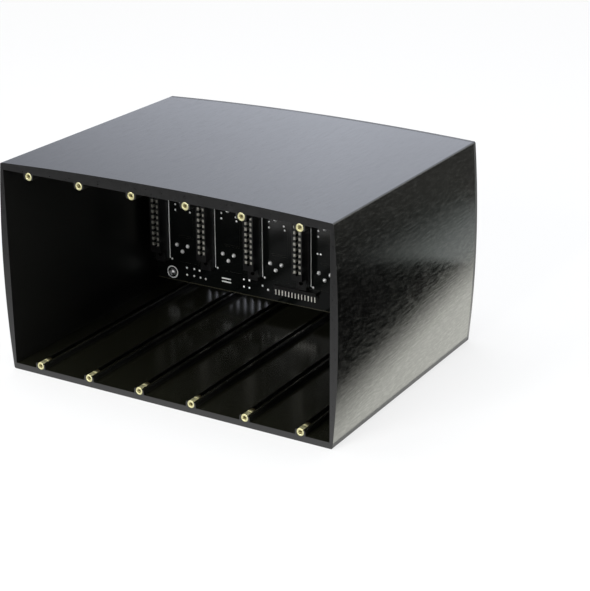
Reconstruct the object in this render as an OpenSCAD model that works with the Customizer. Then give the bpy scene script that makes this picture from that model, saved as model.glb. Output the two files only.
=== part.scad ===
// Module rack: an extruded case with a bay for six plug-in modules.
// X runs along the row of slots, Y from the open front to the back, Z up.
// The origin is on the underside, at the middle of the whole width and depth.

/* [Bay] */
// Distance between the centres of two slots
slot_pitch = 38.1; // [37:0.1:46]
// Distance between a module's upper and lower screw
insert_spacing = 125.4; // [122:0.1:140]
// Room left beside the outer modules
bay_clear = 0.5; // [0.2:0.1:2]
// Depth from the front face to the mouths of the connectors
mouth_depth = 142.5; // [100:0.5:220]

/* [Case] */
// Thickness of the floor
floor_t = 4; // [3.4:0.1:8]
// Thickness of the top at its side edges
roof_t = 4.2; // [3.4:0.1:8]
// Thickness of the side walls at their upper and lower edges
side_t = 1.9; // [1.6:0.1:5]
// How far the sides bow out between their edges
side_bow = 3.3; // [0.5:0.1:8]
// How far the top bows up between its edges
top_bow = 2.8; // [0.5:0.1:8]
// Radius of the four long outer edges
edge_r = 1.2; // [0.4:0.1:1.5]

/* [Screw channels] */
// Height of a channel's axis above the floor, and below the ceiling
channel_rise = 1.8; // [1:0.1:2.6]
// Outer radius of the rounded rib around a channel
rib_r = 3.5; // [3.4:0.1:6]
// Height of the ribs above the floor
rib_h = 3.6; // [2.4:0.1:4]

/* [Threaded inserts] */
// Outer diameter of an insert
insert_d = 5; // [4.4:0.1:5.2]
// Length of an insert
insert_len = 10; // [6:0.5:20]
// Core diameter of the threaded hole
thread_d = 2.5; // [2:0.1:3.4]
// Play between an insert and its channel
insert_clear = 0.05; // [0.02:0.01:0.15]

/* [Rear panel] */
// Thickness of the rear panel
panel_t = 3; // [1.5:0.1:6]
// Width of a vent slot
vent_w = 2.6; // [1.5:0.1:3.6]
// Height of a vent slot
vent_h = 11; // [6:0.5:14]
// Distance between two vent slots
vent_pitch = 6; // [5:0.1:6.5]
// Height of the vent slots above the floor
vent_rise = 6.5; // [5:0.1:7]
// Distance from the middle of the case to the middle of a vent group
vent_x = 63; // [50:0.5:75]
// Diameter of the panel screws' heads
panel_head_d = 7; // [5.5:0.1:8]
// Height of the panel screws' heads
panel_head_h = 2.4; // [1.5:0.1:4]
// Length of the panel screws below the head
panel_screw_len = 14; // [8:0.5:30]

/* [Sockets] */
// Width of a socket's flange
flange_w = 26; // [25:0.1:30]
// Height of a socket's flange
flange_h = 31; // [30:0.1:34]
// Thickness of a socket's flange
flange_t = 2; // [1.2:0.1:4]
// Diameter of a socket's body
socket_d = 23.6; // [22:0.1:24.5]
// Depth of a socket behind the panel
socket_depth = 27.8; // [20:0.1:40]
// Diameter of the hollow that takes a plug's sleeve
socket_bore = 19.2; // [18.5:0.1:20]
// Diameter of the hollow of a pinned receptacle
plug_bore = 16.2; // [15.8:0.1:17.5]
// Depth of both hollows below the flange
hollow_depth = 11; // [8:0.5:14]
// Diameter of a socket's core
core_d = 15.6; // [14.5:0.1:16]
// Diameter of a contact pin
pin_d = 2.4; // [1.8:0.1:2.8]
// Radius of the circle that the pins stand on
pin_circle_r = 4.5; // [3.8:0.1:5]
// Diameter of the soldered legs
leg_d = 1; // [0.6:0.1:1.4]
// Distance from the middle of a slot to the middle of its sockets
socket_shift = 6.35; // [0:0.05:7]
// Height of the inputs below the middle of the bay
input_drop = 27.8; // [26:0.1:33]
// Height of the outputs above the middle of the bay
output_rise = 8.5; // [4:0.1:9]
// Height of the power inlet above the middle of the bay
inlet_rise = 43; // [40:0.1:44]
// Slot above whose sockets the power inlet sits
inlet_index = 2; // [2:1:5]
// Diameter of the small screws
small_screw_d = 3; // [2:0.1:3.4]
// Diameter of the small screws' heads
small_head_d = 5.5; // [4.5:0.1:6]
// Height of the small screws' heads
small_head_h = 1.8; // [1:0.1:3]

/* [Backplane] */
// Thickness of the circuit board
board_t = 1.6; // [1:0.1:3.2]
// Gap between the board and the side walls
board_side_gap = 0.6; // [0.3:0.1:3]
// Gap between the board and the floor
board_floor_gap = 9.7; // [7:0.1:10]
// Gap between the board and the ceiling
board_roof_gap = 6.4; // [5:0.1:9]
// Width of the notches in the board's lower corners
notch_w = 4; // [2:0.1:8]
// Height of the notches in the board's lower corners
notch_h = 13.9; // [6:0.1:20]
// Distance from the side walls to the board's screws
standoff_inset = 17; // [14:0.1:18]
// Distance from the board's edges to its screws
standoff_margin = 5.8; // [5:0.1:8]
// Width of the standoffs across their flats
standoff_af = 5.5; // [5:0.1:7]

/* [Edge connectors] */
// Height of a connector in front of the board
connector_h = 10.5; // [8:0.1:14]
// Width of a connector
connector_w = 8; // [7:0.1:10]
// Distance from the middle of a slot to its connector, to the left
connector_shift = 9.2; // [6:0.1:12]
// Height of the connectors' middle above the middle of the bay
connector_rise = 1.4; // [0:0.1:4]
// Distance between two contacts
contact_pitch = 3.96; // [3.6:0.01:4.2]
// Width of a contact
contact_w = 2.1; // [1.4:0.1:2.6]
// Distance between the two columns of contacts
contact_gap = 3.6; // [3.4:0.1:4]
// Width of the slot for a module's board
card_slot = 1.9; // [1.7:0.1:2.4]
// Length of the mounting ear at each end
ear_len = 8.1; // [7:0.1:9]
// Height of the mounting ears
ear_h = 5; // [2:0.1:7]
// Diameter of the hole in an ear
ear_hole_d = 3.2; // [2:0.1:3.6]

/* [Pin header] */
// Distance between two header pins
header_pitch = 2.54; // [2:0.01:3]
// Distance from the middle of the case to the middle of the header
header_x = 3.9; // [-4:0.1:6]
// Distance from the connectors' lower ends down to the header's soldered row
header_drop = 2.6; // [1.5:0.05:4]
// Length of the header pins' hanging ends
header_len = 5.5; // [4:0.1:8]

/* [Hidden] */
$fn = 48;
eps = 0.01;
slot_count = 6;
contact_count = 15;
header_count = 13;
vent_count = 9;
side_steps = 32;
crown_steps = 24;
edge_steps = 6;

bay_w = slot_count * slot_pitch + 2 * bay_clear;
bay_h = insert_spacing + 2 * channel_rise;
ceiling_z = floor_t + bay_h;
mid_z = floor_t + bay_h / 2;
case_w = bay_w + 2 * side_t;
case_h = ceiling_z + roof_t;

sleeve_d = mouth_depth + connector_h + board_t + socket_depth;
rear_reach = max(flange_t + small_head_h, panel_head_h);
full_d = sleeve_d + panel_t + rear_reach;
front_y = -full_d / 2;
panel_y = front_y + sleeve_d;
rear_y = panel_y + panel_t;
board_y = front_y + mouth_depth + connector_h;

side_r = (pow(case_h / 2, 2) + pow(side_bow, 2)) / (2 * side_bow);
side_cx = case_w / 2 + side_bow - side_r;
top_r = (pow(case_w / 2, 2) + pow(top_bow, 2)) / (2 * top_bow);
top_cz = case_h + top_bow - top_r;

channel_r = insert_d / 2 + insert_clear;
insert_low_z = floor_t + channel_rise;
insert_high_z = ceiling_z - channel_rise;
insert_chamfer = 0.3;
knurl_depth = 0.2;
knurl_band = insert_len * 0.4;
panel_screw_slots = [1, 3, 4, 6];
panel_hole_clear = 0.4;
panel_screw_clear = 0.1;
panel_screw_r = channel_r - panel_screw_clear;

socket_clear = 0.3;
flange_corner_r = 3;
flange_hole_x = 9.5;
flange_hole_y = 12;
screw_clear = 0.1;
small_screw_len = 8;
bore_chamfer = 0.8;
base_wall = 2;
nose_depth = panel_t + hollow_depth + base_wall;
tail_d = 20;
core_recess = 0.8;
key_w = 2.6;
key_depth = 1.4;
pin_recess = 1.5;
contact_recess = 4;
leg_out = 1.4;
leg_clear = 0.15;
three_pin_angles = [180, 0, 270];
five_pin_angles = [198, 126, 54, 342, 270];
input_z = mid_z - input_drop;
output_z = mid_z + output_rise;
inlet_z = mid_z + inlet_rise;

board_w = bay_w - 2 * board_side_gap;
board_low_z = floor_t + board_floor_gap;
board_high_z = ceiling_z - board_roof_gap;
standoff_x = bay_w / 2 - standoff_inset;
standoff_zs = [board_low_z + standoff_margin, board_high_z - standoff_margin];
standoff_screw_len = 6;
standoff_hole_len = 8;

connector_z = mid_z + connector_rise;
contact_span = (contact_count - 1) * contact_pitch;
card_play = 1.2;
card_len = contact_span + contact_w + 2 * card_play;
housing_end = 3.8;
housing_len = card_len + 2 * housing_end;
connector_len = housing_len + 2 * ear_len;
slot_floor = 2;
card_depth = connector_h - slot_floor;
contact_t = 0.5;
contact_clear = 0.1;
tip_drop = 0.35;
tip_w = 1.7;
lead_in = 0.8;
ear_hole_margin = 4.9;

header_z = connector_z - connector_len / 2 - header_drop;
header_pin_t = 0.64;
header_stand = 2.4;
header_block = 2.5;
header_margin = 1.2;
header_w = (header_count - 1) * header_pitch + 2 * header_margin;

function slot_x(i) = (i - (slot_count + 1) / 2) * slot_pitch;
function socket_x(i) = slot_x(i) + socket_shift;
function inlet_x() = socket_x(inlet_index);
function pin_at(angle) = [pin_circle_r * cos(angle), pin_circle_r * sin(angle)];

// Centre of the rounding where the bowed top meets the bowed right side
function top_edge_c() =
    let (a = [side_cx, case_h / 2], b = [0, top_cz])
    let (ra = side_r - edge_r, rb = top_r - edge_r)
    let (d = norm(b - a), u = (b - a) / d)
    let (k = (ra * ra - rb * rb + d * d) / (2 * d))
    let (h = sqrt(ra * ra - k * k))
    a + k * u + h * [-u[1], u[0]];

// Centre of the rounding where the flat underside meets the bowed right side
function low_edge_c() =
    [side_cx + sqrt(pow(side_r - edge_r, 2) - pow(case_h / 2 - edge_r, 2)), edge_r];

// Frames in which Z points out of the front and out of the back
module face_front(at) { translate(at) rotate([90, 0, 0]) children(); }
module face_rear(at) { translate(at) rotate([90, 0, 180]) children(); }

// Points along an arc, without its first one
function arc(c, r, from, to, steps) =
    [for (k = [1:steps]) let (a = from + (to - from) * k / steps) c + r * [cos(a), sin(a)]];
function heading(from, to) = atan2(to[1] - from[1], to[0] - from[0]);

// Right half of the case's outline, from the underside round to the middle of the top
function half_outline() =
    let (side_c = [side_cx, case_h / 2], top_c = [0, top_cz])
    let (low = low_edge_c(), high = top_edge_c())
    let (low_a = heading(side_c, low), high_a = heading(side_c, high), crown_a = heading(top_c, high))
    concat([[low[0], 0]],
           arc(low, edge_r, -90, low_a, edge_steps),
           arc(side_c, side_r, low_a, high_a, side_steps),
           arc(high, edge_r, high_a, crown_a, edge_steps),
           arc(top_c, top_r, crown_a, 90, crown_steps));

// Outer outline of the case seen from the front
module case_outline() {
    half = half_outline();
    last = len(half) - 1;
    polygon(concat(half, [for (k = [last - 1:-1:0]) [-half[k][0], half[k][1]]]));
}

// Rib of one floor channel, with its underside sunk into the floor
module channel_rib() {
    intersection() {
        union() {
            translate([0, channel_rise]) circle(r = rib_r);
            translate([-rib_r, -channel_rise]) square([2 * rib_r, 2 * channel_rise]);
        }
        translate([-2 * rib_r, -channel_rise]) square([4 * rib_r, channel_rise + rib_h]);
    }
}

module channel_row() {
    for (i = [1:slot_count]) translate([slot_x(i), floor_t]) children();
}

module case_section() {
    difference() {
        union() {
            difference() {
                case_outline();
                translate([-bay_w / 2, floor_t]) square([bay_w, bay_h]);
            }
            channel_row() channel_rib();
            translate([0, 2 * mid_z]) mirror([0, 1]) channel_row() channel_rib();
        }
        channel_row() translate([0, channel_rise]) circle(r = channel_r);
        translate([0, 2 * mid_z]) mirror([0, 1])
            channel_row() translate([0, channel_rise]) circle(r = channel_r);
    }
}

module case_sleeve() {
    color([0.11, 0.115, 0.12])
        face_front([0, panel_y, 0]) linear_extrude(sleeve_d) case_section();
}

// Turned insert: a chamfered bush with a recess between its two gripping bands
module threaded_insert() {
    r = insert_d / 2;
    c = insert_chamfer;
    rotate([90, 0, 0]) rotate([180, 0, 0]) rotate_extrude()
        polygon([[thread_d / 2, c], [thread_d / 2 + c, 0], [r - c, 0], [r, c],
                 [r, knurl_band], [r - knurl_depth, knurl_band + knurl_depth],
                 [r - knurl_depth, insert_len - knurl_band - knurl_depth],
                 [r, insert_len - knurl_band], [r, insert_len - c],
                 [r - c, insert_len], [thread_d / 2 + c, insert_len],
                 [thread_d / 2, insert_len - c]]);
}

module insert_row(z) {
    color([0.83, 0.72, 0.36])
        for (i = [1:slot_count]) translate([slot_x(i), front_y, z]) threaded_insert();
}

module upper_inserts() { insert_row(insert_high_z); }
module lower_inserts() { insert_row(insert_low_z); }

// Places where something stands on the rear panel's outer face
module at_inputs() { for (i = [1:slot_count]) face_rear([socket_x(i), rear_y, input_z]) children(); }
module at_outputs() { for (i = [1:slot_count]) face_rear([socket_x(i), rear_y, output_z]) children(); }
module at_inlet() { face_rear([inlet_x(), rear_y, inlet_z]) children(); }
module at_sockets() {
    at_inputs() children();
    at_outputs() children();
    at_inlet() children();
}
module at_panel_screws() {
    for (i = panel_screw_slots, z = [insert_low_z, insert_high_z])
        face_rear([slot_x(i), rear_y, z]) children();
}
module at_standoffs(y) {
    for (s = [-1, 1], z = standoff_zs) face_rear([s * standoff_x, y, z]) children();
}
module at_flange_screws() {
    for (s = [-1, 1]) translate([s * flange_hole_x, s * flange_hole_y, 0]) children();
}

module vent_slot() {
    translate([0, vent_w / 2]) circle(d = vent_w);
    translate([0, vent_h - vent_w / 2]) circle(d = vent_w);
    translate([-vent_w / 2, vent_w / 2]) square([vent_w, vent_h - vent_w]);
}

module rear_panel() {
    color([0.07, 0.07, 0.075]) difference() {
        face_front([0, rear_y, 0]) linear_extrude(panel_t) case_outline();
        face_front([0, rear_y + eps, 0]) linear_extrude(panel_t + 2 * eps)
            for (s = [-1, 1], k = [0:vent_count - 1])
                translate([s * vent_x + (k - (vent_count - 1) / 2) * vent_pitch, floor_t + vent_rise])
                    vent_slot();
        at_sockets() {
            translate([0, 0, -panel_t - eps])
                cylinder(d = socket_d + 2 * socket_clear, h = panel_t + 2 * eps);
            at_flange_screws() translate([0, 0, -panel_t - eps])
                cylinder(d = small_screw_d + 2 * screw_clear, h = panel_t + 2 * eps);
        }
        at_panel_screws() translate([0, 0, -panel_t - eps])
            cylinder(r = panel_screw_r + panel_hole_clear, h = panel_t + 2 * eps);
        at_standoffs(rear_y) translate([0, 0, -panel_t - eps])
            cylinder(d = small_screw_d + 2 * screw_clear, h = panel_t + 2 * eps);
    }
}

// Screw with a domed head whose underside is at Z = 0, and a cross recess
module domed_screw(head_d, head_h, shank_d, shank_len) {
    dome_r = (pow(head_d / 2, 2) + pow(head_h, 2)) / (2 * head_h);
    difference() {
        union() {
            intersection() {
                translate([0, 0, head_h - dome_r]) sphere(r = dome_r);
                cylinder(d = head_d, h = head_h);
            }
            translate([0, 0, -shank_len]) cylinder(d = shank_d, h = shank_len + eps);
        }
        for (a = [0, 90]) rotate(a) translate([-head_d * 0.28, -head_d * 0.06, head_h * 0.4])
            cube([head_d * 0.56, head_d * 0.12, head_h]);
    }
}

module rear_panel_screws() {
    color([0.16, 0.16, 0.17])
        at_panel_screws() domed_screw(panel_head_d, panel_head_h, 2 * panel_screw_r, panel_screw_len);
}

module flange_plate() {
    x = flange_w / 2 - flange_corner_r;
    y = flange_h / 2 - flange_corner_r;
    linear_extrude(flange_t) {
        square([flange_w, 2 * y], center = true);
        square([2 * x, flange_h], center = true);
        for (sx = [-1, 1], sy = [-1, 1]) translate([sx * x, sy * y]) circle(r = flange_corner_r);
    }
}

// Shell of a panel connector: a flange and a tube with a bore of the given width
module socket_shell(bore) {
    difference() {
        union() {
            flange_plate();
            translate([0, 0, -hollow_depth]) cylinder(d = socket_d, h = hollow_depth + eps);
        }
        translate([0, 0, -hollow_depth - eps]) cylinder(d = bore, h = hollow_depth + flange_t + 2 * eps);
        translate([0, 0, flange_t - bore_chamfer])
            cylinder(d1 = bore, d2 = bore + 2 * bore_chamfer + 2 * eps, h = bore_chamfer + eps);
        at_flange_screws() translate([0, 0, -eps])
            cylinder(d = small_screw_d + 2 * screw_clear, h = flange_t + 2 * eps);
    }
}

// Insulating base that closes a shell from behind, with a hole for each pin
module socket_base(angles) {
    foot = -panel_t - socket_depth;
    difference() {
        union() {
            translate([0, 0, -nose_depth]) cylinder(d = socket_d, h = nose_depth - hollow_depth);
            translate([0, 0, foot]) cylinder(d = tail_d, h = -nose_depth - foot + eps);
        }
        for (a = angles) translate(pin_at(a)) translate([0, 0, foot - eps])
            cylinder(d = pin_d + 2 * leg_clear, h = -hollow_depth - foot + 2 * eps);
    }
}

module input_socket(i) {
    color([0.06, 0.06, 0.065])
        face_rear([socket_x(i), rear_y, input_z]) socket_shell(socket_bore);
}

module output_plug(i) {
    color([0.06, 0.06, 0.065])
        face_rear([socket_x(i), rear_y, output_z]) socket_shell(plug_bore);
}

module power_inlet() {
    color([0.06, 0.06, 0.065]) at_inlet() socket_shell(plug_bore);
}

module socket_bases() {
    color([0.09, 0.09, 0.095]) {
        at_inputs() socket_base(three_pin_angles);
        at_outputs() socket_base(three_pin_angles);
    }
}

module inlet_base() {
    color([0.09, 0.09, 0.095]) at_inlet() socket_base(five_pin_angles);
}

module input_core(i) {
    core_h = hollow_depth + flange_t - core_recess;
    color([0.09, 0.09, 0.095]) face_rear([socket_x(i), rear_y, input_z])
        translate([0, 0, -hollow_depth]) difference() {
            cylinder(d = core_d, h = core_h);
            for (a = three_pin_angles) translate(pin_at(a)) translate([0, 0, -eps])
                cylinder(d = pin_d + 2 * leg_clear, h = core_h + 2 * eps);
            translate([-key_w / 2, core_d / 2 - key_depth, contact_recess])
                cube([key_w, 2 * key_depth, core_h]);
        }
}

// Pin that stands in the hollow up to the given height, with a thin leg through the board
module contact_pin(top) {
    foot = -panel_t - socket_depth;
    rotate_extrude() polygon([[0, foot - board_t - leg_out], [leg_d / 2, foot - board_t - leg_out],
        [leg_d / 2, foot + leg_out], [pin_d / 2, foot + leg_out],
        [pin_d / 2, top - pin_d / 3], [pin_d / 4, top], [0, top]]);
}

module input_contacts() {
    color([0.78, 0.74, 0.6]) at_inputs() for (a = three_pin_angles)
        translate(pin_at(a)) contact_pin(flange_t - contact_recess);
}

module output_pins() {
    color([0.78, 0.74, 0.6]) at_outputs() for (a = three_pin_angles)
        translate(pin_at(a)) contact_pin(flange_t - pin_recess);
}

module inlet_pins() {
    color([0.78, 0.74, 0.6]) at_inlet() for (a = five_pin_angles)
        translate(pin_at(a)) contact_pin(flange_t - pin_recess);
}

module socket_screws() {
    color([0.16, 0.16, 0.17]) at_sockets() at_flange_screws() translate([0, 0, flange_t])
        domed_screw(small_head_d, small_head_h, small_screw_d, small_screw_len);
}

module leg_holes(angles) {
    for (a = angles) translate(pin_at(a)) translate([0, 0, -panel_t - socket_depth - board_t - eps])
        cylinder(d = leg_d + 2 * leg_clear, h = board_t + 2 * eps);
}

module backplane_board() {
    color([0.05, 0.06, 0.06]) difference() {
        translate([-board_w / 2, board_y, board_low_z]) cube([board_w, board_t, board_high_z - board_low_z]);
        for (s = [-1, 1]) translate([s * board_w / 2 - notch_w, board_y - eps, board_low_z - notch_h])
            cube([2 * notch_w, board_t + 2 * eps, 2 * notch_h]);
        at_inputs() leg_holes(three_pin_angles);
        at_outputs() leg_holes(three_pin_angles);
        at_inlet() leg_holes(five_pin_angles);
        at_standoffs(board_y) translate([0, 0, -eps])
            cylinder(d = small_screw_d + 2 * screw_clear, h = board_t + 2 * eps);
        at_header_pins() translate([0, 0, -board_t - eps])
            cylinder(d = 2 * header_pin_t, h = board_t + 2 * eps);
    }
}

module board_standoffs() {
    color([0.7, 0.7, 0.68]) at_standoffs(board_y + board_t) difference() {
        cylinder(d = standoff_af / cos(30), h = socket_depth, $fn = 6);
        translate([0, 0, -eps]) cylinder(d = small_screw_d + 2 * screw_clear, h = standoff_hole_len);
        translate([0, 0, socket_depth - standoff_hole_len + eps])
            cylinder(d = small_screw_d + 2 * screw_clear, h = standoff_hole_len);
    }
}

module board_screws() {
    color([0.75, 0.75, 0.73]) for (s = [-1, 1], z = standoff_zs)
        face_front([s * standoff_x, board_y, z])
            domed_screw(small_head_d, small_head_h, small_screw_d, board_t + standoff_screw_len);
}

module standoff_screws() {
    color([0.16, 0.16, 0.17]) at_standoffs(rear_y)
        domed_screw(small_head_d, small_head_h, small_screw_d, panel_t + standoff_screw_len);
}

// Edge connectors, built with Z out of the front and Y along the row of contacts
module at_connector(i) {
    face_front([slot_x(i) - connector_shift, board_y, connector_z]) children();
}

module at_contacts() {
    for (k = [0:contact_count - 1]) translate([0, k * contact_pitch - contact_span / 2, 0]) children();
}

module edge_connector(i) {
    pocket_w = contact_gap + contact_t + tip_w + 2 * contact_clear;
    ear_hole_y = connector_len / 2 - ear_hole_margin;
    color([0.07, 0.07, 0.07]) at_connector(i) difference() {
        union() {
            translate([-connector_w / 2, -housing_len / 2, 0]) cube([connector_w, housing_len, connector_h]);
            translate([-connector_w / 2, -connector_len / 2, 0]) cube([connector_w, connector_len, ear_h]);
        }
        translate([-card_slot / 2, -card_len / 2, connector_h - card_depth])
            cube([card_slot, card_len, card_depth + eps]);
        at_contacts() translate([-pocket_w / 2, -contact_w / 2 - contact_clear, connector_h - card_depth])
            cube([pocket_w, contact_w + 2 * contact_clear, card_depth + eps]);
        for (s = [-1, 1]) translate([0, s * ear_hole_y, -eps]) cylinder(d = ear_hole_d, h = ear_h + 2 * eps);
    }
}

// One spring contact beside the slot: it bows in to the module's board and its tip is folded flat outwards
module spring_contact() {
    x = contact_gap / 2;
    inner = card_slot / 2;
    t = contact_t;
    rise = card_depth - tip_drop;
    tip_in = x + t / 2 - tip_w / 2;
    tip_out = x + t / 2 + tip_w / 2;
    rotate([90, 0, 0]) linear_extrude(contact_w, center = true)
        polygon([[x, 0], [x + t, 0], [x + t, rise * 0.4], [inner + t, rise * 0.7],
                 [inner + t, rise - lead_in], [tip_in + t, rise - t], [tip_out, rise - t], [tip_out, rise],
                 [tip_in, rise], [inner, rise - lead_in], [inner, rise * 0.66], [x, rise * 0.35]]);
}

module edge_contacts(i) {
    color([0.85, 0.84, 0.78]) at_connector(i) translate([0, 0, connector_h - card_depth])
        at_contacts() {
            spring_contact();
            mirror([1, 0, 0]) spring_contact();
        }
}

// Right-angled header: soldered through the board, its bends inside the block and its ends hanging down
module at_header_pins() {
    for (k = [0:header_count - 1])
        face_front([header_x + (k - (header_count - 1) / 2) * header_pitch, board_y, header_z]) children();
}

module bent_pin() {
    t = header_pin_t;
    translate([-t / 2, -t / 2, -board_t - leg_out])
        cube([t, t, board_t + leg_out + header_stand + t / 2]);
    translate([-t / 2, -header_len, header_stand - t / 2]) cube([t, header_len, t]);
}

module pin_header() {
    color([0.08, 0.08, 0.08]) difference() {
        face_front([header_x, board_y, header_z]) translate([-header_w / 2, -header_block / 2, 0])
            cube([header_w, header_block, header_stand + header_block / 2]);
        at_header_pins() bent_pin();
    }
}

module header_pins() {
    color([0.85, 0.82, 0.7]) at_header_pins() bent_pin();
}

case_sleeve();
upper_inserts();
lower_inserts();
rear_panel();
rear_panel_screws();
for (i = [1:slot_count]) input_socket(i);
for (i = [1:slot_count]) input_core(i);
for (i = [1:slot_count]) output_plug(i);
power_inlet();
socket_bases();
inlet_base();
input_contacts();
output_pins();
inlet_pins();
socket_screws();
backplane_board();
board_standoffs();
board_screws();
standoff_screws();
for (i = [1:slot_count]) edge_connector(i);
for (i = [1:slot_count]) edge_contacts(i);
pin_header();
header_pins();
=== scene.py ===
import math

import bpy
from mathutils import Matrix, Vector


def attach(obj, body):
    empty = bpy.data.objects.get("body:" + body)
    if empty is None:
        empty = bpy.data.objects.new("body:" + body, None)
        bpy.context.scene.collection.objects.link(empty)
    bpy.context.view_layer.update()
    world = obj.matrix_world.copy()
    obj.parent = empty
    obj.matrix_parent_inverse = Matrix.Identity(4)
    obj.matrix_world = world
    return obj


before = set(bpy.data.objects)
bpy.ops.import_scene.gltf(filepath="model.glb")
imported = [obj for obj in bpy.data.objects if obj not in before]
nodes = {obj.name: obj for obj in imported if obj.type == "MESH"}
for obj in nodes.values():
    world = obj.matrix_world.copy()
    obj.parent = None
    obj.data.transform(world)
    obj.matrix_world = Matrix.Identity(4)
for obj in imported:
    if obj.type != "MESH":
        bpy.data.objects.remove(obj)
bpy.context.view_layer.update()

# Case sleeve: one length of extruded aluminium with bowed walls, sawn square and anodised black.
# The die leaves faint streaks along the depth, the etched skin is wavy, and the dye takes in short strokes.
# The sawn ends keep fine cutter marks, and all their edges are broken by a hair.
BAY_HALF_WIDTH, BAY_MID_Z, BAY_HALF_HEIGHT = 0.1150, 0.0685, 0.0647
SLEEVE_EDGE = 0.0004
GRAIN = {"Waves": ((0.0016, 0.011, 0.0016), 4, 0.55),
         "Lines": ((0.0006, 0.03, 0.0006), 2),
         "Strokes": ((0.0013, 0.006, 0.0013), 2, 0.6),
         "Cloud": ((0.05, 0.08, 0.05), 3)}
CUTTER_MARKS = ((0.03, 0.001, 0.0005), 2)
GRAIN_DEPTH, LINE_RELIEF, STROKE_RELIEF, CUTTER_RELIEF = 0.00005, 0.15, 0.2, 0.12
CALM_TOP, CALM_BAY, TOP_THIN_DYE = 0.65, 0.2, 0.3
DYE_DARK, DYE_LIGHT = (0.070, 0.071, 0.067, 1), (0.083, 0.084, 0.079, 1)
DYE_THIN = (0.105, 0.106, 0.100, 1)
BAY_WALL, BAY_FLOOR_PAINTED_LIGHT = (0.0050, 0.0051, 0.0046, 1), (0.0095, 0.0096, 0.0060, 1)
SAWN_DARK, SAWN_LIGHT = (0.0035, 0.0035, 0.0036, 1), (0.0080, 0.0080, 0.0080, 1)
SATIN, LINE_SATIN, STROKE_SATIN = (0.07, 0.15), 0.06, 0.07
BAY_SATIN, BAY_FLOOR_SATIN, SAWN_SATIN = (0.28, 0.32), -0.12, 0.17
OXIDE_IOR = 1.65


def add(tree, kind, inputs=None, **settings):
    """A new node with its settings; each input is a plain value or another node's output."""
    node = tree.nodes.new(kind)
    for name, value in settings.items():
        setattr(node, name, value)
    for name, value in (inputs or {}).items():
        if isinstance(value, bpy.types.NodeSocket):
            tree.links.new(value, node.inputs[name])
        else:
            node.inputs[name].default_value = value
    return node


def calc(tree, operation, first, second=0.0, third=0.0):
    """The result of a Math node."""
    return add(tree, "ShaderNodeMath", {0: first, 1: second, 2: third}, operation=operation).outputs[0]


def spread(tree, value, low, high, to_low=0.0, to_high=1.0):
    """A value's range low to high, clamped and carried over to another range."""
    inputs = {0: value, 1: low, 2: high, 3: to_low, 4: to_high}
    return add(tree, "ShaderNodeMapRange", inputs).outputs[0]


def blend_values(tree, share, first, second):
    """A value between two others."""
    return add(tree, "ShaderNodeMix", {0: share, 2: first, 3: second}).outputs[0]


def blend_colours(tree, share, first, second):
    """A colour between two others."""
    mix = add(tree, "ShaderNodeMix", {0: share, 6: first, 7: second}, data_type="RGBA")
    return mix.outputs[2]


def split(tree, vector):
    """A vector's parts along X, Y and Z."""
    return add(tree, "ShaderNodeSeparateXYZ", {0: vector}).outputs


def cloudy(tree, spot, size, detail=2.0, rough=0.5):
    """Noise whose lumps have these sizes along X, Y and Z, in metres."""
    stretched = add(tree, "ShaderNodeMapping", {"Vector": spot, "Scale": [1 / s for s in size]})
    inputs = {"Vector": stretched.outputs[0], "Scale": 1.0, "Detail": detail, "Roughness": rough}
    return add(tree, "ShaderNodeTexNoise", inputs).outputs[0]


def new_group(name, outputs):
    """A shader node group that takes a place on the surface, and puts out the values named."""
    group = bpy.data.node_groups.new(name, "ShaderNodeTree")
    group.interface.new_socket("Place", in_out="INPUT", socket_type="NodeSocketVector")
    for label in outputs:
        group.interface.new_socket(label, in_out="OUTPUT", socket_type="NodeSocketFloat")
    return group, group.nodes.new("NodeGroupInput").outputs[0], group.nodes.new("NodeGroupOutput")


def noise_group(name, noises):
    """A node group that puts out several noises, each with its lumps' size, detail and roughness."""
    group, place, ends = new_group(name, noises)
    for label, noise in noises.items():
        group.links.new(cloudy(group, place, *noise), ends.inputs[label])
    return group


def use_group(tree, group, spot):
    """The outputs of a node group placed in a material."""
    node = tree.nodes.new("ShaderNodeGroup")
    node.node_tree = group
    tree.links.new(spot, node.inputs["Place"])
    return node.outputs


def new_finish(name):
    """A material with a Principled surface, and the object coordinates that its patterns read."""
    finish = bpy.data.materials.new(name)
    finish.use_nodes = True
    tree = finish.node_tree
    tree.nodes.clear()
    skin = tree.nodes.new("ShaderNodeBsdfPrincipled")
    end = tree.nodes.new("ShaderNodeOutputMaterial")
    tree.links.new(skin.outputs[0], end.inputs["Surface"])
    return finish, tree, skin, tree.nodes.new("ShaderNodeTexCoord").outputs["Object"]


def relief(tree, skin, height, depth):
    """Puts a height pattern on the surface, this deep in metres where the height goes from 0 to 1."""
    bump = add(tree, "ShaderNodeBump", {"Strength": 1.0, "Distance": depth, "Height": height})
    tree.links.new(bump.outputs[0], skin.inputs["Normal"])


def facing(tree, axis):
    """How far the surface faces along an axis, from -1 to 1."""
    turned = tree.nodes.new("ShaderNodeNewGeometry").outputs["True Normal"]
    return split(tree, turned)[axis]


def dress(finish, *names):
    """Gives CAD nodes a finish."""
    for name in names:
        nodes[name].material_slots[0].material = finish


def soften(piece, width):
    """Breaks the sharp edges of a CAD node by a hair, without touching its mesh."""
    weld = piece.modifiers.new("closed edges", "WELD")
    weld.merge_threshold = 1e-6
    edge = piece.modifiers.new("broken edges", "BEVEL")
    edge.limit_method = "ANGLE"
    edge.angle_limit = math.radians(40)
    edge.width = width
    edge.segments = 2
    piece.modifiers.new("true faces", "WEIGHTED_NORMAL")


drawn_grain = noise_group("drawn grain", GRAIN)

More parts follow.
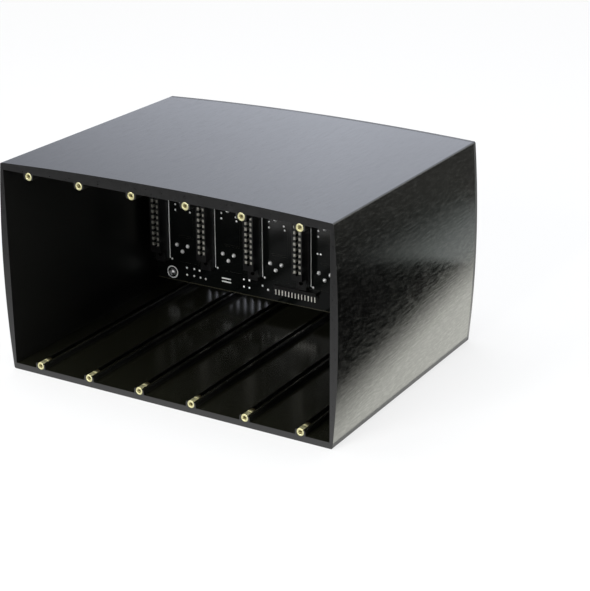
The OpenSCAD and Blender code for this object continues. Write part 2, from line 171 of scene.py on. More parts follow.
anodised, tree, skin, spot = new_finish("black anodised aluminium")
grain = use_group(tree, drawn_grain, spot)
axes = split(tree, spot)
across = calc(tree, "LESS_THAN", calc(tree, "ABSOLUTE", axes[0]), BAY_HALF_WIDTH)
upright = calc(tree, "COMPARE", axes[2], BAY_MID_Z, BAY_HALF_HEIGHT)
inside = calc(tree, "MULTIPLY", across, upright)
level = spread(tree, facing(tree, 2), 0.2, 0.8)
sawn = spread(tree, facing(tree, 1), -0.8, -0.95)
cutter = cloudy(tree, spot, *CUTTER_MARKS)

drawn = calc(tree, "MULTIPLY_ADD", grain["Lines"], LINE_RELIEF, grain["Waves"])
drawn = calc(tree, "MULTIPLY_ADD", grain["Strokes"], STROKE_RELIEF, drawn)
drawn = calc(tree, "MULTIPLY", drawn, spread(tree, level, 0, 1, 1.0, CALM_TOP))
drawn = calc(tree, "MULTIPLY", drawn, spread(tree, inside, 0, 1, 1.0, CALM_BAY))
height = blend_values(tree, sawn, drawn, calc(tree, "MULTIPLY", cutter, CUTTER_RELIEF))
relief(tree, skin, height, GRAIN_DEPTH)

dyed = blend_colours(tree, grain["Cloud"], DYE_DARK, DYE_LIGHT)
thin_dye = spread(tree, grain["Strokes"], 0.44, 0.66)
thin_dye = calc(tree, "MULTIPLY", thin_dye, spread(tree, level, 0, 1, 1.0, TOP_THIN_DYE))
dyed = blend_colours(tree, thin_dye, dyed, DYE_THIN)
# Inside the bay the walls keep a near-black colour, and the upward-facing floor is painted lighter, as painted
# light.
dyed = blend_colours(tree, inside, dyed, blend_colours(tree, level, BAY_WALL, BAY_FLOOR_PAINTED_LIGHT))
cut_face = blend_colours(tree, cutter, SAWN_DARK, SAWN_LIGHT)
tree.links.new(blend_colours(tree, sawn, dyed, cut_face), skin.inputs["Base Color"])

satin = spread(tree, grain["Waves"], 0.35, 0.65, *SATIN)
satin = calc(tree, "MULTIPLY_ADD", grain["Lines"], LINE_SATIN, satin)
satin = calc(tree, "ADD", satin, spread(tree, grain["Strokes"], 0.4, 0.7, 0.0, STROKE_SATIN))
bay_satin = spread(tree, grain["Cloud"], 0.3, 0.7, *BAY_SATIN)
bay_satin = calc(tree, "MULTIPLY_ADD", level, BAY_FLOOR_SATIN, bay_satin)
satin = blend_values(tree, inside, satin, bay_satin)
tree.links.new(calc(tree, "MULTIPLY_ADD", sawn, SAWN_SATIN, satin), skin.inputs["Roughness"])

oxide = calc(tree, "MAXIMUM", sawn, inside)
tree.links.new(calc(tree, "SUBTRACT", 1.0, oxide), skin.inputs["Metallic"])
skin.inputs["IOR"].default_value = OXIDE_IOR
dress(anodised, "case_sleeve")
soften(nodes["case_sleeve"], SLEEVE_EDGE)

# Threaded inserts: turned brass bushes pressed into the front ends of the channels, six above and six below.
# Their faces show the lathe tool's rings, and their grooved barrels carry painted shade that darkens them
# towards the rear.
# Each bore has a cut thread, and bore and thread are painted darker than the face, as painted shade in the
# hole.
FRONT_Y = -0.0946
SLOT_PITCH = 0.0381
SLOT_XS = [(i - 2.5) * SLOT_PITCH for i in range(6)]
INSERT_LOW_Z, INSERT_SPACING = 0.0058, 0.1254
BORE_R, BORE_SHADE_FADE = 0.00125, (0.00140, 0.00128)
THREAD_R, THREAD_START, THREAD_PITCH, THREAD_TURNS, THREAD_STEPS = 0.00021, 0.0006, 0.0005, 14, 14
RING_PITCH, RING_RELIEF, GROOVE_PITCH, GROOVE_RELIEF, TURNED_DEPTH = 0.00016, 0.6, 0.0008, 28.0, 0.000006
REAR_SHADE_STARTS, REAR_SHADE_FULL = 0.0052, 0.0080
BRASS_BRIGHT, BRASS_DULL = (0.70, 0.68, 0.43, 1), (0.60, 0.57, 0.32, 1)
BRASS_BORE_SHADE, BRASS_REAR_SHADE = (0.46, 0.41, 0.21, 1), (0.07, 0.06, 0.03, 1)
TARNISH = ((0.004, 0.004, 0.004), 4, 0.6)


def ripples(tree, value, pitch):
    """A wave of this pitch, from 0 to 1."""
    wave = calc(tree, "SINE", calc(tree, "MULTIPLY", value, 2 * math.pi / pitch))
    return spread(tree, wave, -1, 1)


turned_rings, place, ends = new_group("turned rings", ["Rings", "Bore shade", "Grooves"])
axes = split(turned_rings, place)
aside = calc(turned_rings, "WRAP", axes[0], 0.0, SLOT_PITCH)
aside = calc(turned_rings, "SUBTRACT", aside, SLOT_PITCH / 2)
half_spacing = INSERT_SPACING / 2
above = calc(turned_rings, "WRAP", axes[2], INSERT_LOW_Z + half_spacing, INSERT_LOW_Z - half_spacing)
above = calc(turned_rings, "SUBTRACT", above, INSERT_LOW_Z)
away = add(turned_rings, "ShaderNodeCombineXYZ", {0: aside, 2: above}).outputs[0]
away = add(turned_rings, "ShaderNodeVectorMath", {0: away}, operation="LENGTH").outputs["Value"]
turned_rings.links.new(ripples(turned_rings, away, RING_PITCH), ends.inputs["Rings"])
turned_rings.links.new(spread(turned_rings, away, *BORE_SHADE_FADE), ends.inputs["Bore shade"])
turned_rings.links.new(ripples(turned_rings, axes[1], GROOVE_PITCH), ends.inputs["Grooves"])

brass, tree, skin, spot = new_finish("turned brass")
lathe = use_group(tree, turned_rings, spot)
tarnish = cloudy(tree, spot, *TARNISH)
tint = blend_colours(tree, spread(tree, tarnish, 0.35, 0.7), BRASS_BRIGHT, BRASS_DULL)
# Painted shade: the bore and its thread are darker than the insert's face.
tint = blend_colours(tree, lathe["Bore shade"], tint, BRASS_BORE_SHADE)
# Painted shade: the barrels darken towards the rear of the insert, deeper in the bay.
rear_shade = spread(tree, split(tree, spot)[1], FRONT_Y + REAR_SHADE_STARTS, FRONT_Y + REAR_SHADE_FULL)
tint = blend_colours(tree, rear_shade, tint, BRASS_REAR_SHADE)
tree.links.new(tint, skin.inputs["Base Color"])
tree.links.new(spread(tree, tarnish, 0.3, 0.7, 0.44, 0.56), skin.inputs["Roughness"])
turned = calc(tree, "MULTIPLY_ADD", lathe["Rings"], RING_RELIEF, tarnish)
turned = calc(tree, "MULTIPLY_ADD", lathe["Grooves"], GROOVE_RELIEF, turned)
relief(tree, skin, turned, TURNED_DEPTH)
skin.inputs["Metallic"].default_value = 1.0
dress(brass, "upper_inserts", "lower_inserts")


def start_clean():
    """Leaves edit mode and nothing selected, so that the next operator acts on the new piece alone."""
    if bpy.context.object and bpy.context.object.mode != "OBJECT":
        bpy.ops.object.mode_set(mode="OBJECT")
    bpy.ops.object.select_all(action="DESELECT")


def pick(piece):
    """Selects one piece alone and makes it the active one."""
    start_clean()
    piece.select_set(True)
    bpy.context.view_layer.objects.active = piece


def settle(piece, name):
    """Names a piece, and moves its place, turn and scale into its mesh."""
    pick(piece)
    bpy.ops.object.transform_apply(location=True, rotation=True, scale=True)
    piece.name = piece.data.name = name
    return piece


def joined(parts, name):
    """Several new meshes made one piece."""
    start_clean()
    for part in parts:
        part.select_set(True)
    bpy.context.view_layer.objects.active = parts[0]
    bpy.ops.object.join()
    return settle(parts[0], name)


def copies(pattern, places, name):
    """One piece made of copies of a pattern at these places."""
    made = []
    for at in places:
        twin = pattern.copy()
        twin.data = pattern.data.copy()
        twin.data.transform(Matrix.Translation(at))
        bpy.context.collection.objects.link(twin)
        made.append(twin)
    bpy.data.objects.remove(pattern)
    return joined(made, name)


def fit(piece, finish, smooth=None):
    """Finishes a new piece and fixes it to the case; edges under the angle smooth are shaded round."""
    pick(piece)
    if smooth:
        bpy.ops.object.shade_smooth_by_angle(angle=math.radians(smooth))
    piece.data.materials.clear()
    piece.data.materials.append(finish)
    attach(piece, "root")


start_clean()
bpy.ops.mesh.primitive_circle_add(vertices=4, radius=THREAD_R, location=(BORE_R, 0, 0))
bpy.ops.object.transform_apply(location=True, rotation=True, scale=True)
bpy.ops.object.modifier_add(type="SCREW")
thread = bpy.context.object
winding = thread.modifiers[-1]
winding.axis = "Y"
winding.screw_offset = THREAD_PITCH
winding.iterations = THREAD_TURNS
winding.steps = winding.render_steps = THREAD_STEPS
winding.use_merge_vertices = False
bpy.ops.object.modifier_apply(modifier=winding.name)
bpy.ops.object.mode_set(mode="EDIT")
bpy.ops.mesh.select_all(action="SELECT")
bpy.ops.mesh.fill_holes(sides=4)
bpy.ops.mesh.normals_make_consistent(inside=False)
bpy.ops.object.mode_set(mode="OBJECT")
bores = [(x, FRONT_Y + THREAD_START, INSERT_LOW_Z + high) for high in (0, INSERT_SPACING) for x in SLOT_XS]
fit(copies(thread, bores, "insert_threads"), brass, 40)

# Rear panel: an aluminium plate cut to the case's outline, with a fine black powder coat.
# It closes the back, carries the sockets, and has two groups of nine vent slots.
PANEL_EDGE = 0.0002
COAT = {"Lumps": ((0.0007, 0.0007, 0.0007), 3), "Specks": ((0.00022, 0.00022, 0.00022), 1)}
COAT_WEAR = ((0.03, 0.03, 0.03), 3)
COAT_DARK, COAT_LIGHT = (0.010, 0.0105, 0.011, 1), (0.022, 0.0225, 0.023, 1)
COAT_DEPTH, SPECK_RELIEF, COAT_IOR = 0.00004, 0.35, 1.55

powder_coat = noise_group("powder coat", COAT)

coated, tree, skin, spot = new_finish("black powder coat")
coat = use_group(tree, powder_coat, spot)
tree.links.new(blend_colours(tree, coat["Lumps"], COAT_DARK, COAT_LIGHT), skin.inputs["Base Color"])
worn = cloudy(tree, spot, *COAT_WEAR)
tree.links.new(spread(tree, worn, 0.3, 0.7, 0.36, 0.48), skin.inputs["Roughness"])
relief(tree, skin, calc(tree, "MULTIPLY_ADD", coat["Specks"], SPECK_RELIEF, coat["Lumps"]), COAT_DEPTH)
skin.inputs["IOR"].default_value = COAT_IOR
dress(coated, "rear_panel")
soften(nodes["rear_panel"], PANEL_EDGE)

# Black screws: steel, blacked in an oxide bath, with domed heads and cross recesses.
# Eight hold the rear panel in the channels, four its standoffs, and two each socket.
BATH = ((0.0012, 0.0012, 0.0012), 4, 0.6)
BLACKED_DARK, BLACKED_LIGHT = (0.018, 0.018, 0.020, 1), (0.055, 0.054, 0.053, 1)


def metal(name, noise, dark, light, rough, depth, metallic=1.0):
    """A metal whose colour, roughness and relief follow one noise, each between its two ends."""
    finish, tree, skin, spot = new_finish(name)
    film = cloudy(tree, spot, *noise)
    tree.links.new(blend_colours(tree, film, dark, light), skin.inputs["Base Color"])
    tree.links.new(spread(tree, film, 0.3, 0.7, *rough), skin.inputs["Roughness"])
    relief(tree, skin, film, depth)
    skin.inputs["Metallic"].default_value = metallic
    return finish


blacked = metal("blacked steel", BATH, BLACKED_DARK, BLACKED_LIGHT, (0.30, 0.45), 0.00001, 0.75)
dress(blacked, "rear_panel_screws", "socket_screws", "standoff_screws")

# Sockets: six three-contact inputs, six three-pin outputs above them and the five-pin inlet.
# Their shells and cores are moulded in black plastic with a matt spark texture.
MOULD = {"Pits": ((0.00016, 0.00016, 0.00016), 2), "Flow": ((0.006, 0.006, 0.012), 3)}
SHELL_DARK, SHELL_LIGHT = (0.010, 0.010, 0.011, 1), (0.019, 0.019, 0.020, 1)
CORE_DARK, CORE_LIGHT = (0.016, 0.016, 0.017, 1), (0.028, 0.028, 0.029, 1)

moulded_skin = noise_group("moulded skin", MOULD)


def moulded(name, dark, light, matt, pits):
    """A moulded plastic: its darkest and lightest colour, its roughness and the depth of its texture."""
    finish, tree, skin, spot = new_finish(name)
    mould = use_group(tree, moulded_skin, spot)
    tree.links.new(blend_colours(tree, mould["Flow"], dark, light), skin.inputs["Base Color"])
    tree.links.new(spread(tree, mould["Flow"], 0.3, 0.7, matt - 0.05, matt + 0.05), skin.inputs["Roughness"])
    relief(tree, skin, mould["Pits"], pits)
    return finish


shell = moulded("shell plastic", SHELL_DARK, SHELL_LIGHT, 0.38, 0.000025)
inner = moulded("core plastic", CORE_DARK, CORE_LIGHT, 0.46, 0.00002)
for number in range(1, 7):
    dress(shell, f"input_socket_{number}", f"output_plug_{number}")
    dress(inner, f"input_core_{number}")
dress(shell, "power_inlet")
dress(inner, "socket_bases", "inlet_base")

# Contacts and pins of the sockets: turned bronze with a thin plating, pressed into the insulating bases.
# Their thin legs pass through the backplane board.
PLATING = ((0.0008, 0.003, 0.0008), 3)
PLATED_DARK, PLATED_LIGHT = (0.80, 0.74, 0.58, 1), (0.90, 0.86, 0.74, 1)

plated = metal("plated pins", PLATING, PLATED_DARK, PLATED_LIGHT, (0.16, 0.28), 0.000004)
dress(plated, "input_contacts", "output_pins", "inlet_pins")

# Backplane board: glass-fibre laminate with copper on both sides under a black solder mask.
# It stands on four hexagonal standoffs, and its cut edges and a hair along its foot show the laminate.
BOARD_Y, BOARD_LOW_Z = 0.0584, 0.0137
BARE_FOOT, BARE_FOOT_SHARE = (0.0008, 0.0004), 0.25
WEAVE_PITCH, WEAVE_RELIEF, MASK_DEPTH = 0.0011, 0.05, 0.00003
MASK_FLOW = ((0.012, 0.012, 0.012), 4)
MASK_DARK, MASK_LIGHT = (0.0012, 0.0016, 0.0015, 1), (0.0023, 0.0030, 0.0027, 1)
GLASS_DARK, GLASS_LIGHT = (0.11, 0.105, 0.07, 1), (0.16, 0.15, 0.10, 1)
MASK_GLOSS, CUT_EDGE_MATT = (0.10, 0.14), 0.3

mask, tree, skin, spot = new_finish("black solder mask")
weave = add(tree, "ShaderNodeMapping", {"Vector": spot, "Scale": [1 / WEAVE_PITCH] * 3}).outputs[0]
weave = add(tree, "ShaderNodeTexChecker", {"Vector": weave, "Scale": 1.0}).outputs["Fac"]
flow = cloudy(tree, spot, *MASK_FLOW)
cut_edge = spread(tree, calc(tree, "ABSOLUTE", facing(tree, 1)), 0.5, 0.4)
foot_from, foot_full = (BOARD_LOW_Z + high for high in BARE_FOOT)
foot = spread(tree, split(tree, spot)[2], foot_from, foot_full, 0.0, BARE_FOOT_SHARE)
cut_edge = calc(tree, "MAXIMUM", cut_edge, foot)
film = blend_colours(tree, flow, MASK_DARK, MASK_LIGHT)
glass = blend_colours(tree, weave, GLASS_DARK, GLASS_LIGHT)
tree.links.new(blend_colours(tree, cut_edge, film, glass), skin.inputs["Base Color"])
smooth_mask = spread(tree, flow, 0.3, 0.7, *MASK_GLOSS)
tree.links.new(calc(tree, "MULTIPLY_ADD", cut_edge, CUT_EDGE_MATT, smooth_mask), skin.inputs["Roughness"])
relief(tree, skin, calc(tree, "MULTIPLY_ADD", weave, WEAVE_RELIEF, flow), MASK_DEPTH)
dress(mask, "backplane_board")

# Tracks: copper runs under the black mask, which show as low ridges between the slots.
# They are etched from the board's foil, in pairs with a hair between them.
# A level run has two ends and a height, an upright one a place, a foot and a top, from the slot's middle.
TRACK_PROUD, TRACK_WIDE, TRACK_STEP, TRACK_CORNER = 0.00006, 0.0006, 0.0012, 0.00028
MIDDLE_RUN, FOOT_RUN = (0.0028, 0.0158, -0.0210), (0.0036, 0.0186, -0.0406)
SHORT_RUN, LONG_RUN = (0.0192, -0.0414, -0.0295), (0.0152, -0.0198, 0.0205)
TRACKS_END_X = 0.110


def rounded_bar(low, high, proud, corner):
    """A flat bar on the board's front face, with round corners; its corners are given in X and Z."""
    start_clean()
    at = ((low[0] + high[0]) / 2, BOARD_Y, BAY_MID_Z + (low[1] + high[1]) / 2)
    size = (high[0] - low[0], 2 * proud, high[1] - low[1])
    bpy.ops.mesh.primitive_cube_add(size=1, location=at, scale=size)
    bpy.ops.object.transform_apply(location=True, rotation=True, scale=True)
    bar = bpy.context.object
    bpy.context.tool_settings.mesh_select_mode = (False, True, False)
    for vertex in bar.data.vertices:
        vertex.select = False
    for face in bar.data.polygons:
        face.select = False
    for edge in bar.data.edges:
        first, last = (bar.data.vertices[v].co for v in edge.vertices)
        edge.select = abs(first.y - last.y) > proud
    bpy.ops.object.mode_set(mode="EDIT")
    bpy.ops.mesh.bevel(offset=corner, segments=3, affect="EDGES")
    bpy.ops.object.mode_set(mode="OBJECT")
    return bar


def level_run(x, left, right, high):
    """The corners of a track that runs across the board."""
    return (x + left, high), (x + right, high + TRACK_WIDE)


def upright_run(x, place, foot, top):
    """The corners of a track that runs up the board."""
    return (x + place, foot), (x + place + TRACK_WIDE, top)


runs = []
for x in SLOT_XS:
    left, right, high = MIDDLE_RUN
    for shift in (0, TRACK_STEP):
        runs.append(level_run(x, left, right, high - shift))
        runs.append(upright_run(x + shift, *SHORT_RUN))
        runs.append(upright_run(x + shift, *LONG_RUN))
    runs.append(level_run(x, *FOOT_RUN))
tracks = [rounded_bar(low, high, TRACK_PROUD, TRACK_CORNER) for low, high in runs if high[0] < TRACKS_END_X]
fit(joined(tracks, "board_tracks"), mask)

# Board print: white ink lines beside the connectors, the ring round the corner screws and a plain pair of bars.
# The ink is screened on, so it is a thin matt film with slightly uneven cover.
INK_PROUD = 0.00003
LINE_LEFT, LINE_RIGHT, LINE_FOOT, LINE_TOP, LINE_CORNER = -0.0047, -0.0039, -0.0390, 0.0418, 0.00035
BAR_LEFT, BAR_RIGHT, BAR_HIGH, BAR_CORNER = -0.0566, -0.0490, 0.0009, 0.0004
BAR_FEET = (-0.0462, -0.0486)
SCREW_SPOTS = [(x, z) for z in (-0.0490, 0.0523) for x in (-0.0978, 0.0978)]
RING_R, RING_WIDE, RING_SIDES = 0.0046, 0.0009, 40
INK_COVER = ((0.0006, 0.0006, 0.0006), 3)
INK_THIN, INK_FULL, INK_DEPTH = (0.50, 0.51, 0.50, 1), (0.68, 0.69, 0.68, 1), 0.000006

ink, tree, skin, spot = new_finish("white ink")
cover = cloudy(tree, spot, *INK_COVER)
tint = blend_colours(tree, spread(tree, cover, 0.3, 0.6), INK_THIN, INK_FULL)
tree.links.new(tint, skin.inputs["Base Color"])
tree.links.new(spread(tree, cover, 0.3, 0.7, 0.55, 0.7), skin.inputs["Roughness"])
relief(tree, skin, cover, INK_DEPTH)

print_parts = []
for x in SLOT_XS:
    low, high = (x + LINE_LEFT, LINE_FOOT), (x + LINE_RIGHT, LINE_TOP)
    print_parts.append(rounded_bar(low, high, INK_PROUD, LINE_CORNER))
for z in BAR_FEET:
    low, high = (BAR_LEFT, z), (BAR_RIGHT, z + BAR_HIGH)
    print_parts.append(rounded_bar(low, high, INK_PROUD, BAR_CORNER))
for x, z in SCREW_SPOTS:
    start_clean()
    bpy.ops.mesh.primitive_circle_add(vertices=RING_SIDES, radius=RING_R, fill_type="NGON",
                                      rotation=(math.pi / 2, 0, 0), location=(x, BOARD_Y, BAY_MID_Z + z))
    bpy.ops.object.transform_apply(location=True, rotation=True, scale=True)
    bpy.ops.object.mode_set(mode="EDIT")
    bpy.context.tool_settings.mesh_select_mode = (False, False, True)
    bpy.ops.mesh.select_all(action="SELECT")
    bpy.ops.mesh.inset(thickness=RING_WIDE)
    bpy.ops.mesh.delete(type="FACE")
    bpy.ops.mesh.select_all(action="SELECT")
    bpy.ops.mesh.extrude_region_move(TRANSFORM_OT_translate={"value": (0, -INK_PROUD, 0)})
    bpy.ops.mesh.select_all(action="SELECT")
    bpy.ops.mesh.normals_make_consistent(inside=False)
    bpy.ops.object.mode_set(mode="OBJECT")
    print_parts.append(bpy.context.object)
fit(joined(print_parts, "board_print"), ink)

# Solder: bright tin fillets round the sockets' legs, and low beads on the pads between the slots.
# The iron leaves plenty of tin on each leg, so both the fillets and the beads are domed.
# Their profiles are radii and heights from the board outwards, and places are from the board's middle.
SOCKET_SHIFT, LEG_REACH, SOLDER_SINK = 0.00635, 0.0045, 0.00005
SOCKET_XS = [x + SOCKET_SHIFT for x in SLOT_XS]
INPUT_Z, OUTPUT_Z = -0.0278, 0.0085
INLET_X, INLET_Z, INLET_ANGLES = SOCKET_XS[1], 0.0430, (198, 126, 54, 342, 270)
FILLET = [(0.00150, 0), (0.00148, 0.00018), (0.00138, 0.00048), (0.00120, 0.00080),
          (0.00096, 0.00110), (0.00074, 0.00134), (0.00060, 0.00154), (0.00030, 0.00168)]
BEAD = [(0.00080, 0), (0.00078, 0.00010), (0.00062, 0.00028), (0.00038, 0.00040), (0.00014, 0.00045)]
BEAD_SIDES = 12
SLOT_PADS = [(-0.0026, -0.0391), (0.0013, 0.0017), (0.0012, -0.0023), (0.0128, 0.0004), (0.0135, -0.0024)]
FOOT_PADS = [(-0.0856, -0.0438), (-0.0794, -0.0436), (-0.0750, -0.0440),
             (-0.0856, -0.0490), (-0.0797, -0.0489), (-0.0744, -0.0491), (-0.0700, -0.0493),
             (-0.0385, -0.0437), (-0.0340, -0.0436), (-0.0386, -0.0491), (-0.0341, -0.0490),
             (-0.0234, -0.0454), (-0.0191, -0.0476), (0.0198, -0.0144), (0.0222, -0.0144)]
TIN_GRAIN, TIN_LUMPS = ((0.0005, 0.0005, 0.0005), 4, 0.6), ((0.0011, 0.0011, 0.0011), 2)
TIN_DARK, TIN_LIGHT = (0.88, 0.89, 0.90, 1), (0.98, 0.98, 0.97, 1)
LUMP_RELIEF, TIN_DEPTH = 30.0, 0.00001

solder, tree, skin, spot = new_finish("solder")
grainy = cloudy(tree, spot, *TIN_GRAIN)
tree.links.new(blend_colours(tree, grainy, TIN_DARK, TIN_LIGHT), skin.inputs["Base Color"])
tree.links.new(spread(tree, grainy, 0.3, 0.7, 0.58, 0.74), skin.inputs["Roughness"])
lumps = cloudy(tree, spot, *TIN_LUMPS)
relief(tree, skin, calc(tree, "MULTIPLY_ADD", lumps, LUMP_RELIEF, grainy), TIN_DEPTH)
skin.inputs["Metallic"].default_value = 1.0


def bead(steps):
    """A round bead of solder on the board's front face, with this profile."""
    start_clean()
    bpy.ops.mesh.primitive_circle_add(vertices=BEAD_SIDES, radius=steps[0][0], fill_type="NGON",
                                      rotation=(math.pi / 2, 0, 0))
    bpy.ops.object.transform_apply(location=True, rotation=True, scale=True)
    bpy.ops.object.mode_set(mode="EDIT")
    bpy.context.tool_settings.mesh_select_mode = (False, False, True)
    bpy.ops.mesh.select_all(action="SELECT")
    for (wide, low), (narrow, high) in zip(steps, steps[1:]):
        bpy.ops.mesh.extrude_region_move(TRANSFORM_OT_translate={"value": (0, low - high, 0)})
        bpy.ops.transform.resize(value=(narrow / wide, 1, narrow / wide), center_override=(0, 0, 0))
    bpy.ops.mesh.select_all(action="SELECT")
    bpy.ops.mesh.normals_make_consistent(inside=False)
    bpy.ops.object.mode_set(mode="OBJECT")
    return bpy.context.object


def on_board(x, z):
    """A place on the board's front face."""
    return (x, BOARD_Y + SOLDER_SINK, BAY_MID_Z + z)


legs = []
for x in SOCKET_XS:
    for z in (INPUT_Z, OUTPUT_Z):
        legs += [on_board(x - LEG_REACH, z), on_board(x + LEG_REACH, z), on_board(x, z - LEG_REACH)]
for turn in (math.radians(angle) for angle in INLET_ANGLES):
    legs.append(on_board(INLET_X + LEG_REACH * math.cos(turn), INLET_Z + LEG_REACH * math.sin(turn)))
fit(copies(bead(FILLET), legs, "leg_solder"), solder, 50)

pads = [on_board(x + aside, z) for x in SLOT_XS for aside, z in SLOT_PADS]
pads += [on_board(x, z) for x, z in FOOT_PADS]
fit(copies(bead(BEAD), pads, "pad_solder"), solder, 50)

# Standoffs and board screws: zinc-plated steel, the screws with domed heads and cross recesses.
# The plate is bright, with a faint spangle where the crystals grew.
SPANGLE = ((0.0015, 0.0015, 0.0015), 4, 0.6)
ZINC_DARK, ZINC_LIGHT = (0.62, 0.63, 0.64, 1), (0.80, 0.80, 0.79, 1)

zinc = metal("zinc plate", SPANGLE, ZINC_DARK, ZINC_LIGHT, (0.22, 0.36), 0.000006)
dress(zinc, "board_standoffs", "board_screws")

# Edge connectors and pin header: housings moulded in glass-filled black plastic and soldered to the board.
# Each connector holds thirty sprung bronze contacts, tinned as the header's pins are; their tin is painted
# darker than the pins', as painted shade.
HOUSING_DARK, HOUSING_LIGHT = (0.0014, 0.0014, 0.0014, 1), (0.0030, 0.0030, 0.0030, 1)
TIN_FILM, FILM_ROUGH, FILM_DEPTH = ((0.0008, 0.0008, 0.0008), 3), (0.52, 0.66), 0.000005
SHADED_TIN_DARK, SHADED_TIN_LIGHT = (0.36, 0.356, 0.32, 1), (0.48, 0.475, 0.43, 1)
PIN_DARK, PIN_LIGHT = (0.78, 0.775, 0.73, 1), (0.92, 0.915, 0.87, 1)

housing = moulded("housing plastic", HOUSING_DARK, HOUSING_LIGHT, 0.32, 0.000015)
# Painted shade: the contacts' tin is darker than the same tin on the header's pins.
shaded_tin = metal("tinned contacts in painted shade", TIN_FILM, SHADED_TIN_DARK, SHADED_TIN_LIGHT, FILM_ROUGH, FILM_DEPTH)
bright_tin = metal("tinned pins", TIN_FILM, PIN_DARK, PIN_LIGHT, FILM_ROUGH, FILM_DEPTH)
for number in range(1, 7):
    dress(housing, f"edge_connector_{number}")
    dress(shaded_tin, f"edge_contacts_{number}")
dress(housing, "pin_header")
dress(bright_tin, "header_pins")

# Camera: at the photograph's angle, from the right of the front and a little above.
# Its focal length is given in pixels of a frame that is 591 pixels along its longer side.
AZIMUTH, ELEVATION, ROLL = (math.radians(a) for a in (30.464, 21.400, -0.249))
CAMERA_AT = (0.5311, -0.8407, 0.4297)
FOCAL_PIXELS, FRAME_PIXELS, SENSOR_MM = 1653.4, 591, 36
NEAREST, FARTHEST = 0.05, 50

level_reach = math.cos(ELEVATION)
back = Vector((math.sin(AZIMUTH) * level_reach, -math.cos(AZIMUTH) * level_reach, math.sin(ELEVATION)))
right = (-back).cross(Vector((0, 0, 1))).normalized()
up = right.cross(-back)
right, up = (math.cos(ROLL) * right + math.sin(ROLL) * up, math.cos(ROLL) * up - math.sin(ROLL) * right)
camera = bpy.data.objects.new("camera", bpy.data.cameras.new("camera"))
bpy.context.collection.objects.link(camera)
turned_camera = Matrix((right, up, back)).transposed().to_4x4()
camera.matrix_world = Matrix.Translation(CAMERA_AT) @ turned_camera
camera.data.sensor_width = SENSOR_MM
camera.data.lens = FOCAL_PIXELS * SENSOR_MM / FRAME_PIXELS
camera.data.clip_start, camera.data.clip_end = NEAREST, FARTHEST
bpy.context.scene.camera = camera

# Studio: a plain pale floor that fades into a white surround, under three soft boxes.
# Cards that only reflections see give the dark skin of the case its gradients.
# The boxes' glare leaves the sleeve out, because on its skin a lamp would show as a hard patch.
FLOOR_SIZE, FLOOR_Z = 12, -0.0002
FLOOR_COLOUR, FLOOR_ROUGH = (0.88, 0.88, 0.88, 1), 0.8
FADE_REACH, FADE_SHARES = (0.7, 1.9), (0.72, 1.0)
SURROUND_LIGHT, WHITE = (0.42, 0.43, 0.45, 1), (1, 1, 1, 1)
RIGHT_CARD = [(0.119, -0.29, 0.001), (1.2, 1.35, 0.001), (1.2, 1.8, 0.001), (0.119, 1.8, 0.001)]
GREY_CARD = [(0.180, 0.215, 0.002), (0.300, 0.23, 0.002), (0.300, 0.40, 0.002), (0.180, 0.40, 0.002)]
SIDE_CARD = [(1.2, 0.8, 0), (1.1, 1.9, 0), (1.1, 1.9, 0.25), (1.2, 0.8, 0.25)]
BACK_CARD = [(-2.3, 0.9, 0), (0.9, 2.0, 0), (0.9, 2.0, 1.5), (-2.3, 0.9, 1.5)]
FRONT_CARD = [(-0.45, -0.12, 0.001), (0.14, -0.12, 0.001), (-0.05, -1.1, 0.001), (-1.2, -1.1, 0.001)]
SOFT_BOXES = {"front": ((-0.35, -1.5, 0.68), 0.6, 20, (1.0, 0.99, 0.97)),
              "right": ((1.6, -0.36, 0.36), 0.5, 14, (1.0, 0.99, 0.96), (-0.1, -0.08, 0.05)),
              "overhead": ((-0.3, 0.1, 1.9), 1.6, 26, (0.94, 0.97, 1.0))}


def seen(tree):
    """1 for a ray from the camera, a reflection or glass, and 0 for light that falls on the object."""
    path = tree.nodes.new("ShaderNodeLightPath").outputs
    straight = calc(tree, "MAXIMUM", path["Is Camera Ray"], path["Is Glossy Ray"])
    return calc(tree, "MAXIMUM", straight, path["Is Transmission Ray"])


def card(name, corners, ramps, tint=(1, 1, 1)):
    """A card that shows only in reflections: its corners, and ramps of shade, of which the brightest shows.

    A ramp is a direction, the reach along it in metres, and the shade at each end of that reach.
    """
    start_clean()
    bpy.ops.mesh.primitive_grid_add(x_subdivisions=6, y_subdivisions=6, size=2)
    sheet = bpy.context.object
    a, b, c, d = (Vector(corner) for corner in corners)
    for vertex in sheet.data.vertices:
        u, v = (vertex.co.x + 1) / 2, (vertex.co.y + 1) / 2
        vertex.co = a.lerp(b, u).lerp(d.lerp(c, u), v)
    settle(sheet, name)
    sheet.visible_camera = sheet.visible_diffuse = sheet.visible_shadow = False
    finish, tree, skin, spot = new_finish(name)
    shade = 0.0
    for along, reach, shades in ramps:
        way = add(tree, "ShaderNodeVectorMath", {0: spot, 1: along}, operation="DOT_PRODUCT")
        shade = calc(tree, "MAXIMUM", spread(tree, way.outputs["Value"], *reach, *shades), shade)
    glow = add(tree, "ShaderNodeEmission", {"Color": (*tint, 1), "Strength": shade}).outputs[0]
    tree.links.new(glow, tree.nodes["Material Output"].inputs["Surface"])
    sheet.data.materials.append(finish)


def softbox(name, at, size, power, colour, target=(0, 0, 0.06)):
    """A square area light that faces the case."""
    light = bpy.data.objects.new(name, bpy.data.lights.new(name, "AREA"))
    light.data.shape = "SQUARE"
    light.data.size = size
    light.data.energy = power
    light.data.color = colour
    light.location = at
    light.rotation_mode = "QUATERNION"
    light.rotation_quaternion = (Vector(target) - Vector(at)).to_track_quat("-Z", "Y")
    bpy.context.collection.objects.link(light)
    return light


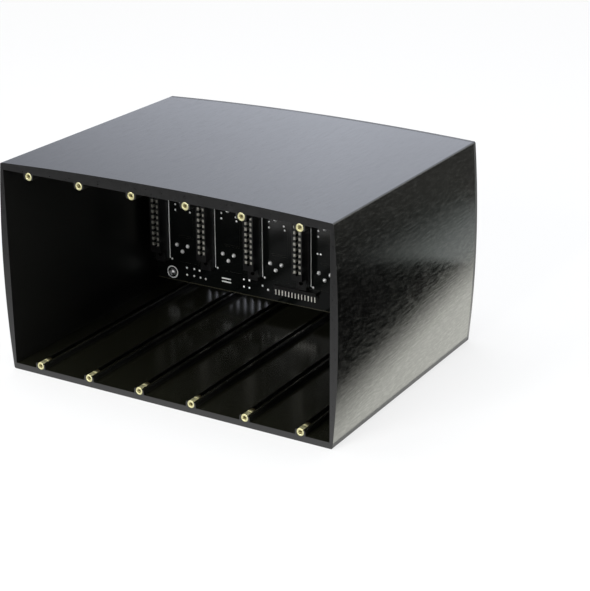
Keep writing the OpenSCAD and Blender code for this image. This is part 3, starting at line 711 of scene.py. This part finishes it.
start_clean()
bpy.ops.mesh.primitive_grid_add(x_subdivisions=8, y_subdivisions=8, size=FLOOR_SIZE, location=(0, 0, FLOOR_Z))
floor = settle(bpy.context.object, "floor")
pale, tree, skin, spot = new_finish("pale floor")
skin.inputs["Base Color"].default_value = FLOOR_COLOUR
skin.inputs["Roughness"].default_value = FLOOR_ROUGH
glow = add(tree, "ShaderNodeEmission", {"Color": WHITE, "Strength": 1.0}).outputs[0]
away = add(tree, "ShaderNodeVectorMath", {0: spot}, operation="LENGTH").outputs["Value"]
share = calc(tree, "MULTIPLY", seen(tree), spread(tree, away, *FADE_REACH, *FADE_SHARES))
both = add(tree, "ShaderNodeMixShader", {0: share, 1: skin.outputs[0], 2: glow})
tree.links.new(both.outputs[0], tree.nodes["Material Output"].inputs["Surface"])
floor.data.materials.append(pale)

card("right card", RIGHT_CARD, [((1, -0.14, 0), (0.132, 0.160), (2.2, 0.0)),
                                ((0.835, -0.55, 0), (0.165, 0.258), (0.0, 0.9)),
                                ((0, 1, 0), (0.18, 0.45), (0.014, 0.145))], (1.0, 1.0, 0.94))
card("grey card", GREY_CARD, [((1, 0, 0), (0.21, 0.29), (0.86, 0.10))], (0.95, 1.02, 1.01))
card("side card", SIDE_CARD, [((0, 1, 0), (0.8, 1.9), (0.057, 0.076))])
card("back card", BACK_CARD, [((1, 0, 0), (-1.45, -0.72), (0.45, 1.50))], (0.93, 0.97, 1.10))
card("front card", FRONT_CARD, [((0, 1, 0), (-0.12, -0.36), (0.85, 0.05))])

free_of_glare = bpy.data.collections.new("free of glare")
free_of_glare.objects.link(nodes["case_sleeve"])
free_of_glare.collection_objects[0].light_linking.link_state = "EXCLUDE"
for name, box in SOFT_BOXES.items():
    softbox(name + " light", *box).visible_glossy = False
for name in ("front", "right"):
    glare = softbox(name + " glare", *SOFT_BOXES[name])
    glare.visible_diffuse = False
    glare.light_linking.receiver_collection = free_of_glare

world = bpy.data.worlds.new("studio")
world.use_nodes = True
tree = world.node_tree
tree.nodes.clear()
surround = blend_colours(tree, seen(tree), SURROUND_LIGHT, WHITE)
sky = add(tree, "ShaderNodeBackground", {"Color": surround, "Strength": 1.0})
end = tree.nodes.new("ShaderNodeOutputWorld")
tree.links.new(sky.outputs[0], end.inputs["Surface"])
bpy.context.scene.world = world
bpy.context.scene.view_settings.view_transform = "Standard"
